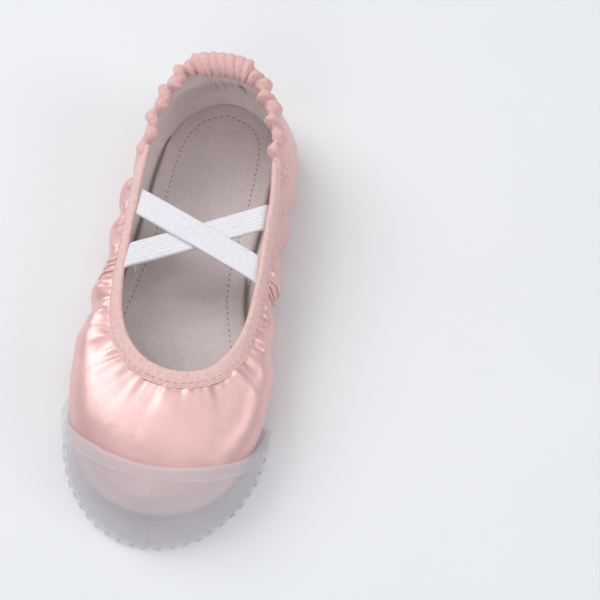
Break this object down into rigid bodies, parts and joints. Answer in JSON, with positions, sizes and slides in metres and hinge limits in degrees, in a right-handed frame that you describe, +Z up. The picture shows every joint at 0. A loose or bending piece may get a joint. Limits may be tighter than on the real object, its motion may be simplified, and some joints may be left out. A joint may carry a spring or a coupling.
{
  "type": "ballet slipper",
  "caption": "Satin ballet slipper with crossed elastic straps, a gathered heel binding and a removable translucent moulded toe cover.",
  "frame": {"origin": "on the floor, under the middle of the bounding box", "axes": "+Z up, +Y from toe to heel, +X towards the medial (inner) side of the foot"},
  "size_m": [0.0704, 0.1782, 0.0491],
  "materials": {
    "pink_satin": "satin",
    "cotton_lining": "woven",
    "suede": "napped",
    "board": "pressed fibre",
    "foam": "open cell",
    "white_thread": "thread",
    "pink_tape": "knit",
    "pink_thread": "thread",
    "white_elastic": "ribbed elastic",
    "frosted_silicone": "frosted translucent"
  },
  "bodies": {
    "forefoot": {"vamp_satin": "pink_satin", "vamp_lining": "cotton_lining", "outsole": "suede", "insole_board": "board", "insole_foam": "foam", "insole_sock": "cotton_lining", "sole_stitches": "white_thread", "throat_binding": "pink_tape", "binding_stitches": "pink_thread"},
    "heel": {"quarter_satin_lateral": "pink_satin", "quarter_satin_medial": "pink_satin", "quarter_lining_lateral": "cotton_lining", "quarter_lining_medial": "cotton_lining", "heel_binding": "pink_tape", "heel_elastic": "white_elastic", "heel_tab": "pink_tape", "heel_seam_tape": "cotton_lining", "side_seam_lateral": "pink_thread", "side_seam_medial": "pink_thread"},
    "cross_straps": {"strap_lower": "white_elastic", "strap_upper": "white_elastic", "strap_tacks": "white_thread"},
    "toe_cover": {"toe_cap": "frosted_silicone"}
  },
  "joints": [
    {"name": "sole_flex", "type": "hinge", "parent": "forefoot", "child": "heel", "pos_m": [0, -0.0253, 0.003], "axis": [1, 0, 0], "range_deg": [0, 30], "deforming": ["vamp_satin", "vamp_lining", "outsole", "insole_board", "insole_foam", "insole_sock", "sole_stitches", "throat_binding", "binding_stitches"]},
    {"name": "strap_lift", "type": "slide", "parent": "heel", "child": "cross_straps", "axis": [0, 0, 1], "range_m": [0, 0.012], "stiffness_N_per_m": 60, "deforming": ["strap_lower", "strap_upper"]},
    {"name": "toe_cover_slide", "type": "slide", "parent": "forefoot", "child": "toe_cover", "axis": [0, -1, 0], "range_m": [0, 0.075]}
  ]
}
